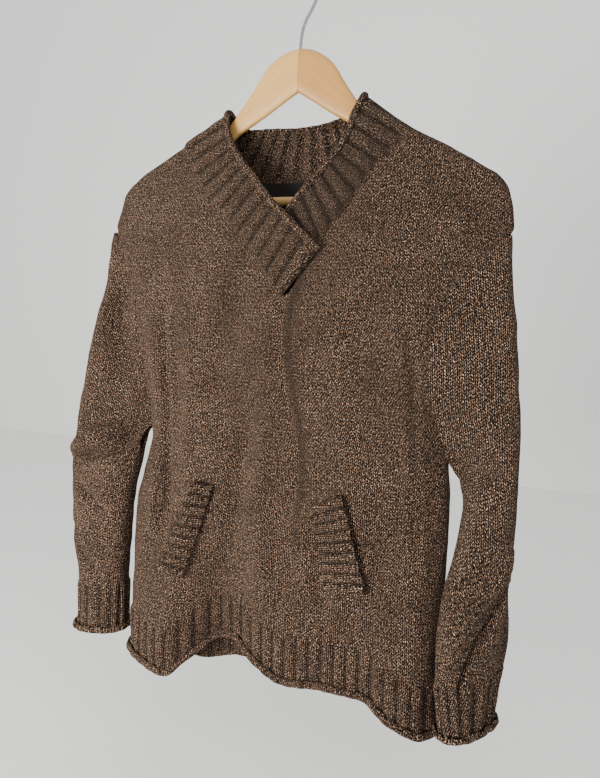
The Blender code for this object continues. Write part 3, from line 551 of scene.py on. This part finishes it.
# Sections of the sleeves. Columns: z, x and y of the middle, half width, half depth, turn
LEFT_SLEEVE = (
    (-331, -262, 12, 3, 8, 0), (-350, -252.5, 10, 14, 12, 0), (-370, -249, 6, 18, 17, 0),
    (-406, -245, -1, 24.5, 22, 0), (-445, -245.5, -5, 29.5, 26, 0), (-490, -247, -8, 36.5, 28, 2),
    (-530, -245, -10, 44, 29, 3), (-592, -244, -13, 55, 30, 4), (-640, -249.5, -15, 54, 29, 4),
    (-670, -253, -15, 50.5, 28, 4), (-705, -255.5, -13, 46.5, 27, 2), (-760, -254.5, -14, 43, 26, 0),
    (-800, -250, -15, 37.5, 25, 0), (-850, -248.5, -15, 36, 24, 0), (-886, -249, -15, 36, 24, 0))
RIGHT_SLEEVE = (
    (-336, 265.5, 12, 3, 8, 0), (-355, 257, 9, 13, 12, 0), (-375, 248.5, 5, 23, 17, 0),
    (-411, 238, -1, 38.5, 23, 0), (-440, 235.5, -5, 45.5, 26, 0), (-500, 237.5, -8, 50, 28, 0),
    (-545, 245, -9, 47.5, 29, 0), (-600, 256.5, -9, 38.5, 30, 3), (-622, 263.5, -9, 32, 30, 6),
    (-650, 266, -10, 30, 29, 12), (-700, 263, -11, 33, 26, 26), (-760, 258.5, -14, 44.5, 23, 38),
    (-820, 258.5, -17, 51, 21, 44), (-880, 257.5, -17, 43, 20, 48), (-914, 258, -17, 37, 19, 50))
# Folds of the sleeves. Columns: rise, half width, then place round the sleeve and z at the
# start, the middle and the end of the fold.
LEFT_SLEEVE_FOLDS = (
    (-9, 17, 0.10, -350, 0.13, -440, 0.10, -545),
    (11, 15, 0.04, -586, 0.20, -606, 0.44, -636),
    (-13, 10, 0.03, -604, 0.19, -626, 0.42, -656),
    (-6, 10, 0.40, -660, 0.28, -690, 0.18, -712),
    (-6, 10, 0.44, -735, 0.34, -768, 0.24, -800))
RIGHT_SLEEVE_FOLDS = (
    (-4, 26, 0.14, -400, 0.22, -480, 0.40, -560),
    (6, 14, 0.42, -690, 0.20, -760, 0.05, -835),
    (-13, 8, 0.45, -708, 0.27, -778, 0.13, -860),
    (-6, 15, 0.44, -730, 0.37, -820, 0.34, -900))


def sleeve_surface(sections, folds, edge, side, top, armpit, cuff_tilt, blend):
    """Outer face of a sleeve, by place round it from the front seam and place along it.

    Towards its top its depth passes into that of the panels beside it.
    """
    keys = np.array([row[0] * MM for row in sections])
    centre_x, own_y, half_width, own_depth = (
        curve(keys, [row[column] * MM for row in sections]) for column in (1, 2, 3, 4))
    fronts, backs = front_y(edge(keys), keys), back_y(edge(keys), keys)
    with_panels = ease(*blend, keys)
    centre_y = curve(keys, own_y(keys) + ((fronts + backs) / 2 - own_y(keys)) * with_panels)
    half_depth = curve(keys, own_depth(keys) + ((backs - fronts) / 2 - own_depth(keys)) * with_panels)
    turn = curve(keys, [radians(row[5]) for row in sections])
    bottom = keys[-1] + ROLL

    def oval(around, z):
        opening = ARMHOLE_OPENING * joined(z)
        angle = pi + opening + 2 * (pi - opening) * around
        wide = np.sign(np.cos(angle)) * np.abs(np.cos(angle)) ** OVAL_POWER * half_width(z)
        deep = np.sign(np.sin(angle)) * np.abs(np.sin(angle)) ** OVAL_POWER * half_depth(z)
        return (centre_x(z) + side * (wide * np.cos(turn(z)) - deep * np.sin(turn(z))),
                centre_y(z) + wide * np.sin(turn(z)) + deep * np.cos(turn(z)))

    def joined(z):
        return ease(armpit - 45 * MM, armpit, z)

    def plain(around, along):
        z = end_between(top, bottom, CUFF_RIB_HEIGHT, along) + 0 * around
        x, y = oval(around, z)
        start_x, _ = oval(0 * around, z)
        start_x = np.where(around < 0.5, start_x, oval(0 * around + 1, z)[0])
        reach = joined(z) * np.where(around < 0.5, ease(0.34, 0, around), ease(0.66, 1, around))
        seam_y = np.where(around < 0.5, front_y(edge(z), z), back_y(edge(z), z))
        y = y + (seam_y - y) * reach
        x = x + (edge(z) + side * SEAM_GAP - start_x) * reach
        x = x + side * 8 * MM * ease(armpit, armpit - 25 * MM, z) * reach
        y = y + SEAM_GAP * (ease(0.96, 1, around) - ease(0.04, 0, around)) * (1 - joined(z))
        cap = CAP_RISE * (1 - (2 * around - 1) ** 2) * ease(top - 60 * MM, top, z)
        tilt = cuff_tilt * side * (x - centre_x(z)) * ease(armpit, bottom, z)
        return np.stack((x, y, z + cap - tilt), axis=-1)

    def folded(around, along):
        point, normal, _ = surface_frame(plain, around, along)
        outward = -side * normal
        spots = np.linspace(0, 1, 25)
        rise = 0 * point[..., 0]
        for height, half, a0, z0, a1, z1, a2, z2 in folds:
            line_around = curve((0, 0.5, 1), (a0, a1, a2))(spots)
            line_z = curve((0, 0.5, 1), (z0, z1, z2))(spots) * MM
            round_off = (around[..., None] - line_around) * 4.4 * half_width(line_z)
            apart = np.hypot(round_off, point[..., 2, None] - line_z)
            fade = np.sin(pi * spots[apart.argmin(axis=-1)]) ** 0.5
            rise = rise + height * MM * fade * bump(apart.min(axis=-1), half * MM)
        near_seam = ease(0, 0.07, around) * ease(1, 0.93, around)
        return point + outward * (rise * near_seam)[..., None]
    return folded


for side, word, sections, folds, edge, top, hem, tilt, blend in (
        (-1, "left", LEFT_SLEEVE, LEFT_SLEEVE_FOLDS, left_edge, LEFT_EDGE[0, 0], FRONT_HEM[0, 2],
         LEFT_CUFF_TILT, LEFT_BLEND),
        (1, "right", RIGHT_SLEEVE, RIGHT_SLEEVE_FOLDS, right_edge, RIGHT_EDGE[0, 0], FRONT_HEM[-1, 2],
         RIGHT_CUFF_TILT, RIGHT_BLEND)):
    sleeve_top, armpit = (top + (hem + ROLL + HEM_RIB_HEIGHT - top) * share
                          for share in (SLEEVE_TOP_SHARE, ARMPIT_SHARE))
    place = sleeve_surface(sections, folds, edge, side, sleeve_top, armpit, tilt, blend)
    if side > 0:
        place = turned(place)
    builder = knitted(place, CUFF_RIBS, seed=7 + side, plain_rows=130, rib_rows=12)
    below = [vertex for vertex in builder.verts if vertex.co.z < armpit]
    bmesh.ops.remove_doubles(builder, verts=below, dist=UNDERARM_JOIN)
    sleeve = finished(f"sleeve_{word}_knit", builder, wool, "brown_wool_knit", CLOTH)
    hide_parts(f"sleeve_{word}")


# Neckband. A ribbed strip sewn round the neck, whose left end lies over its right end at
# the point of the V. Its inner edge rolls outward.
NECK_OVERLAP = 1.2 * MM     # by which the neckband's seam side lies over the panels
NECK_RIBS = 37
NECK_ROLL = 4.2 * MM
BAND_TUCK = 2 * MM          # how deep the neckband's ends are set into the cloth behind
# The neckband's course, from the front end of the left band round the back to the hidden
# right end. Columns: 1 on the front or -1 on the back, x on the seam line, edge x, y, z, and how far
# the seam side stands in front of its panel
NECKBAND = (
    (1, 9, 51, -49, -356, 3), (1, -8, 29, -49, -336, 1.5), (1, -26, 10, -50, -318, 0),
    (1, -52, -13, -46, -297, 0), (1, -80, -38, -38, -268, 0), (1, -108, -60, -29, -244, 0),
    (1, -132, -76, -21, -222, 0), (1, -148, -88, -14, -200, 0), (1, -155.5, -93, -6, -180, 0),
    (-1, -157, -94, 5, -172, 0), (-1, -153, -91, 16, -179, 0), (-1, -138, -84, 21, -187, 0),
    (-1, -108, -68, 22, -191, 0), (-1, -68, -44, 22, -191, 0), (-1, -20, -10, 22, -192, 0),
    (-1, 30, 20, 22, -190, 0), (-1, 78, 48, 21, -184, 0), (-1, 112, 65, 21, -175, 0),
    (-1, 134, 77, 17, -169, 0), (-1, 143.5, 84, 5, -162, 0), (1, 142, 83, -6, -171, 0),
    (1, 132, 77, -14, -190, 0), (1, 115, 71, -18, -213, 0), (1, 98, 61, -26, -237, 0),
    (1, 80, 48, -32, -257, 0), (1, 60, 33, -37, -277, 0), (1, 43, 17, -39, -297, 0),
    (1, 29, 2, -39, -317, 0))


def neckband_surface(front_top, back_top):
    """Outer face of the neckband: across runs round the neck, along from seam to inner edge.

    Its seam side follows the panels' own top edges, given as rows of points.
    """
    def nearest(row, x):
        return int(np.abs(row[:, 0] - x).argmin())

    left = front_top[nearest(front_top, NECK_LEFT):nearest(front_top, NECK_BOTTOM) + 1][::-1]
    right = front_top[nearest(front_top, NECK_BOTTOM):nearest(front_top, NECK_RIGHT) + 1][::-1]
    back = back_top[nearest(back_top, NECK_LEFT):nearest(back_top, NECK_RIGHT) + 1]
    line = np.concatenate((left, back[1:-1], right))
    length = np.concatenate(([0], np.cumsum(np.linalg.norm(np.diff(line, axis=0), axis=1))))
    left_end, right_start = len(left) - 1, len(left) + len(back) - 2
    sections = ((0, left_end + 1), (left_end, right_start + 1), (right_start, len(line)))
    stations, part = [], 0
    for number, row in enumerate(NECKBAND):
        if number and row[0] != NECKBAND[number - 1][0]:
            part += 1
        begin, end = sections[part]
        order = np.argsort(line[begin:end, 0])
        stations.append(np.interp(row[1] * MM, line[begin:end, 0][order], length[begin:end][order]))
    numbers = np.arange(len(NECKBAND))
    edge = [curve(numbers, [row[column] * MM for row in NECKBAND]) for column in (2, 3, 4)]
    lift = curve(numbers, [row[5] * MM for row in NECKBAND])
    seam_length = curve(numbers, stations)

    def ends(number):
        at = seam_length(number)
        seam = np.stack([np.interp(at, length, line[:, axis]) for axis in (0, 1, 2)], axis=-1)
        seam[..., 1] -= lift(number)
        return seam, np.stack([axis(number) for axis in edge], axis=-1)

    spread = np.linspace(0, len(NECKBAND) - 1, 600)
    seam, inner_edge = ends(spread)
    travelled = np.concatenate(([0], np.cumsum(
        np.linalg.norm(np.diff(0.5 * (seam + inner_edge), axis=0), axis=1))))
    travelled /= travelled[-1]

    def place(across, along):
        number = np.interp(across, travelled, spread)
        seam, inner_edge = ends(number)
        reach = inner_edge - seam
        width = np.linalg.norm(reach, axis=-1, keepdims=True)
        part = np.broadcast_to(along / 2, number.shape)[..., None]
        start = -NECK_OVERLAP / width
        return seam + reach * (start + (1 - start) * part)
    return place


seam_places = np.linspace(0, 1, 1201)
band_place = neckband_surface(front_place(seam_places, 0.0), back_place(seam_places, 0.0))


def tucked(place, depth, first, last, seam_share=1.0):
    """The same surface, with its first and last parts of across set into the cloth by depth.

    The seam side of an end goes in by seam_share of the depth.
    """
    def lower(across, along):
        point = place(across, along).copy()
        share = seam_share + (1 - seam_share) * np.clip(along, 0, 1)
        point[..., 1] += depth * share * (1 - ease(0, first, across) * ease(0, last, 1 - across))
        return point
    return lower


neckband = finished("neckband_knit", knitted(
    turned(tucked(band_place, BAND_TUCK, first=0.015, last=0.01, seam_share=0.0)), NECK_RIBS, seed=11,
    rib_rows=22, roll_rows=10, roll=NECK_ROLL, ribs_from=0.06, columns_a_rib=10),
    wool, "brown_wool_knit", CLOTH)
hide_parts("neckband")


# Pocket welts. Short ribbed strips over the slanting mouths of two hand pockets, sewn down
# along their inner side and at both ends; the mouth side stands off the front a little.
WELT_RIBS = 9
WELT_LIFT = 4 * MM          # how far the open edge of a pocket welt stands off the front
WELT_TUCK = 4 * MM          # how deep both ends of a welt are set into the front
# Columns: x, z at the upper and at the lower end of the mouth, then of the seam, and the
# clearance over the facets of the panel below
POCKETS = {
    "pocket_welt_left": ((-97, -652), (-150, -779), (-72, -656), (-110, -783), 2.6),
    "pocket_welt_right": ((97, -646), (133, -764), (57, -666), (80, -771), 1.0)}
RAY_START = -0.3            # Y in front of the whole sweater


def welt_surface(measures, panel_tree):
    """Outer face of a pocket welt: across runs down the mouth, along from seam to mouth."""
    mouth_top, mouth_low, seam_top, seam_low = np.array(measures[:4]) * MM
    clearance = measures[4] * MM

    def place(across, along):
        across, along = np.broadcast_arrays(across, along)
        down, part = across[..., None], (along / 2)[..., None]
        mouth = mouth_top + (mouth_low - mouth_top) * down
        seam = seam_top + (seam_low - seam_top) * down
        spot = seam + (mouth - seam) * part
        y = [panel_tree.ray_cast((x, RAY_START, z), (0, 1, 0))[0].y for x, z in spot.reshape(-1, 2)]
        stand = clearance + CLOTH + WELT_LIFT * ease(0.2, 1, along / 2)
        return np.stack((spot[..., 0], np.reshape(y, across.shape) - stand, spot[..., 1]), axis=-1)
    return place if mouth_top[0] > 0 else turned(place)


front_tree = BVHTree.FromObject(front_panel, bpy.context.evaluated_depsgraph_get())
for word, measures in POCKETS.items():
    welt = finished(f"{word}_knit", knitted(
        tucked(welt_surface(measures, front_tree), WELT_TUCK, first=0.05, last=0.05), WELT_RIBS, seed=13,
        rib_rows=16, roll_rows=0, roll=0.0, ribs_from=-1, columns_a_rib=10), wool, "brown_wool_knit", CLOTH)
    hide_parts(word)


# Neck label. A plain dark woven tape, sewn inside the back under the neck seam.
label_weave, shader, place = finish_of("dark_woven_label", 0.9, Specular_IOR_Level=0.1)
across, down = place.part("X") * 1000, place.part("Z") * 1000
rib_weave = place.math("SINE", (across + down * 0.5) * 9.0) * 0.5 + 0.5
cloth_noise = place.noise(900.0, 3.0)
place.plug((rib_weave * 0.6 + cloth_noise * 0.4).mix((0.006, 0.0055, 0.005, 1), (0.020, 0.018, 0.016, 1)),
           shader.inputs["Base Color"])
place.plug(place.node("ShaderNodeBump", {}, {"Strength": 0.6, "Distance": 0.2 * MM, "Height": rib_weave}),
           shader.inputs["Normal"])
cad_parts["neck_label"].data.materials.clear()
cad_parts["neck_label"].data.materials.append(label_weave)


# Hanger. Two flat beech arms with rounded edges, glued in a mitre at the middle, each with
# a lobe at its end that holds the round bar. Clear varnish; the right arm is the same beech as the left,
# darkened and warmed as painted shade.
BAR_RADIUS = 5.5 * MM
BAR_HEIGHT = -285 * MM
BAR_HALF_LENGTH = 191.7 * MM
BAR_SIDES = 40
ARM_COLUMNS, ARM_ROWS = 40, 90   # of the mesh, round an arm and along it
ARM_SLOPE = radians(-36)    # of the right arm's grain
WIDTH_POWER, HEIGHT_POWER = 0.72, 0.6    # below 1, so that an arm is flat with rounded edges
# Arms of the hanger, whose ends carry the bar in a lobe. Columns: x, top z, bottom z, width
HANGER_ARM = np.array((
    (0.15, -100, -153, 12), (12, -101.5, -160, 12), (28, -108, -170, 12), (44, -121, -180, 12),
    (60, -144.5, -189, 12), (74, -164, -197, 11), (98, -193, -216, 8), (115, -208, -230, 7),
    (135, -220, -242, 7), (160, -229, -252, 7.4), (180, -232, -259, 9.5), (192, -236, -267, 10),
    (192.8, -236.5, -293, 10), (204, -243, -295, 10), (211, -248, -292, 8), (214.5, -254, -285, 4))) * MM


def beech(name, pale, brown, fleck, slope):
    """Varnished beech whose grain and short dark flecks run along a piece sloping so much."""
    made, shader, place = finish_of(name, 0.4, Coat_Weight=0.08, Coat_Roughness=0.3)
    lying = place.node("ShaderNodeMapping", {}, {"Vector": place, "Rotation": (0, slope, 0)})
    grain = lying.node("ShaderNodeMapping", {}, {"Vector": lying, "Scale": (14, 220, 220)})
    flecks = lying.node("ShaderNodeMapping", {}, {"Vector": lying, "Scale": (160, 900, 900)})
    rings = lying.node("ShaderNodeMapping", {}, {"Vector": lying, "Scale": (2.5, 30, 30)})
    streak = grain.noise(1.0, 4.0, 0.6)
    broad = rings.noise(1.0, 2.0, 0.5)
    spots = flecks.noise(1.0, 1.0, 0.5).between(0.64, 0.72)
    colour = (streak * 0.6 + broad * 0.4).between(0.32, 0.68).mix(pale, brown)
    colour = (spots * 0.45).mix(colour, fleck)
    place.plug(colour, shader.inputs["Base Color"])
    place.plug(0.45 + 0.16 * streak, shader.inputs["Roughness"])
    place.plug(place.node("ShaderNodeBump", {}, {"Strength": 0.25, "Distance": 0.2 * MM, "Height": streak}),
               shader.inputs["Normal"])
    return made


def smooth_tube(columns, rows, place):
    """Closed tube with capped ends, laid over place(across, along)."""
    builder = bmesh.new()
    bmesh.ops.create_grid(builder, x_segments=columns, y_segments=rows, size=0.5)
    for vertex in builder.verts:
        vertex.co = place(vertex.co.x + 0.5, vertex.co.y + 0.5)
    bmesh.ops.remove_doubles(builder, verts=builder.verts, dist=0.02 * MM)
    bmesh.ops.holes_fill(builder, edges=[edge for edge in builder.edges if edge.is_boundary], sides=0)
    bmesh.ops.recalc_face_normals(builder, faces=builder.faces)
    return builder


arm_steps = np.hypot(np.diff(HANGER_ARM[:, 0]), np.diff(HANGER_ARM[:, 1]))
arm_length = np.concatenate(([0], np.cumsum(arm_steps)))
arm_x, arm_top, arm_bottom, arm_width = (
    curve(arm_length / arm_length[-1], HANGER_ARM[:, column]) for column in range(4))


def arm_place(side):
    """Surface of an arm: across runs round it, along from the middle to its end."""
    def place(across, along):
        x, top, bottom, width = (float(line(along)) for line in (arm_x, arm_top, arm_bottom, arm_width))
        angle = 2 * pi * across
        y = SWEEP * x + np.sign(cos(angle)) * abs(cos(angle)) ** WIDTH_POWER * width / 2
        z = ((top + bottom) / 2
             + np.sign(sin(angle)) * abs(sin(angle)) ** HEIGHT_POWER * (top - bottom) / 2)
        return side * x, y, z
    return place


# The right arm's colours are the left arm's beech made darker and warmer as painted shade.
for side, node, colours in (
        (-1, "hanger_arm_left",
         ((0.47, 0.27, 0.075, 1), (0.40, 0.215, 0.05, 1), (0.23, 0.11, 0.03, 1))),
        (1, "hanger_arm_right",
         ((0.36, 0.175, 0.035, 1), (0.30, 0.14, 0.025, 1), (0.17, 0.075, 0.018, 1)))):
    wood = beech(f"{node}_beech", *colours, side * ARM_SLOPE)
    arm = finished(f"{node}_wood", smooth_tube(ARM_COLUMNS, ARM_ROWS, arm_place(side)), wood,
                   "pale_beech" if side < 0 else "warm_beech")
    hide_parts(node)

bar_wood = beech("bar_beech", (0.56, 0.32, 0.11, 1), (0.47, 0.26, 0.08, 1), (0.26, 0.13, 0.045, 1), 0.0)
builder = bmesh.new()
bmesh.ops.create_cone(builder, cap_ends=True, segments=BAR_SIDES, radius1=BAR_RADIUS,
                      radius2=BAR_RADIUS, depth=2 * BAR_HALF_LENGTH)
bmesh.ops.rotate(builder, verts=builder.verts, matrix=Matrix.Rotation(pi / 2, 3, "Y"))
bmesh.ops.translate(builder, verts=builder.verts, vec=(0, SWEEP * BAR_HALF_LENGTH, BAR_HEIGHT))
bar = finished("hanger_bar_wood", builder, bar_wood, "warm_beech")
bar.data.set_sharp_from_angle(angle=radians(40))
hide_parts("hanger_bar")


# Hook. One length of steel wire, bent round and then in an easy curve down into the top of
# the wood, with dull chrome plating.
HOOK_WIRE = 2 * MM          # radius of the wire
HOOK_RADIUS = 21 * MM
HOOK_COLUMNS, HOOK_ROWS = 20, 160    # of the mesh, round the wire and along it
HOOK_STEP = 0.02            # along the hook's line, when its direction is measured
# The hook's wire below its bend, down to the wood. Columns: x, z in millimetres
HOOK_STEM = ((20.3, -30), (17, -43), (11.5, -55), (6, -65), (2, -77), (0.4, -89), (0, -100.3))
chrome, shader, place = finish_of("dull_chrome", 0.22, 1.0)
smear = place.noise(160.0, 3.0)
place.plug(smear.mix((0.22, 0.22, 0.23, 1), (0.42, 0.42, 0.43, 1)), shader.inputs["Base Color"])
place.plug(0.14 + 0.2 * smear, shader.inputs["Roughness"])
hook_bend = [radians(degrees) for degrees in range(200, -15, -15)]
hook_line = [(HOOK_RADIUS * cos(angle), HOOK_WIRE - HOOK_RADIUS + HOOK_RADIUS * sin(angle))
             for angle in hook_bend] + [(x * MM, z * MM) for x, z in HOOK_STEM]
hook_x, hook_z = (curve(range(len(hook_line)), [point[axis] for point in hook_line]) for axis in (0, 1))
hook_end = len(hook_line) - 1


def wire_place(across, along):
    """Surface of the hook's wire."""
    here = along * hook_end
    way = Vector((hook_x(here + HOOK_STEP) - hook_x(here - HOOK_STEP), 0,
                  hook_z(here + HOOK_STEP) - hook_z(here - HOOK_STEP)))
    if way.length == 0:
        way = Vector((0, 0, -1))
    way.normalize()
    beside = Vector((0, 1, 0)).cross(way)
    angle = 2 * pi * across
    middle = Vector((float(hook_x(here)), 0, float(hook_z(here))))
    return middle + HOOK_WIRE * (cos(angle) * Vector((0, 1, 0)) + sin(angle) * beside)


hook = finished("hanger_hook_wire", smooth_tube(HOOK_COLUMNS, HOOK_ROWS, wire_place), chrome,
                "dark_chrome_wire")
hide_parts("hanger_hook")


# Floor, backdrop and soft light. All are pale and plain. The strongest lamp stands low in
# front of the sweater, a little to the left; weak ones fill in from the right and the top.
FLOOR_Z, BACKDROP_Y, STUDIO_SIZE = -1.06, 2.2, 14
LIT_SPOT = Vector((0, 0, -0.5))
studio = bpy.data.materials.new("studio_pale")
studio.use_nodes = True
studio.node_tree.nodes["Principled BSDF"].inputs["Base Color"].default_value = (0.78, 0.77, 0.74, 1)
studio.node_tree.nodes["Principled BSDF"].inputs["Roughness"].default_value = 0.9
for name, place, tilt in (("floor", (0, 0, FLOOR_Z), 0), ("backdrop", (0, BACKDROP_Y, 0), radians(90))):
    builder = bmesh.new()
    bmesh.ops.create_grid(builder, x_segments=1, y_segments=1, size=STUDIO_SIZE / 2)
    bmesh.ops.rotate(builder, verts=builder.verts, matrix=Matrix.Rotation(tilt, 3, "X"))
    bmesh.ops.translate(builder, verts=builder.verts, vec=place)
    mesh = bpy.data.meshes.new(name)
    builder.to_mesh(mesh)
    builder.free()
    mesh.materials.append(studio)
    plane = bpy.data.objects.new(name, mesh)
    bpy.context.scene.collection.objects.link(plane)

world = bpy.data.worlds.new("studio")
world.use_nodes = True
world.node_tree.nodes["Background"].inputs["Color"].default_value = (0.94, 0.96, 1.0, 1)
world.node_tree.nodes["Background"].inputs["Strength"].default_value = 1.4
bpy.context.scene.world = world
for name, place, size, power, colour in (
        ("main", (-0.6, -1.5, -0.75), 0.7, 72, (1.0, 0.98, 0.95)),
        ("fill", (1.2, -2.2, -0.4), 2.0, 8, (1.0, 0.99, 0.98)),
        ("top", (0.2, -0.6, 1.5), 1.6, 4, (1.0, 1.0, 1.0))):
    lamp = bpy.data.objects.new(name, bpy.data.lights.new(name, "AREA"))
    lamp.data.size, lamp.data.energy, lamp.data.color = size, power, colour
    lamp.location = place
    lamp.rotation_euler = (LIT_SPOT - Vector(place)).to_track_quat("-Z", "Y").to_euler()
    bpy.context.scene.collection.objects.link(lamp)
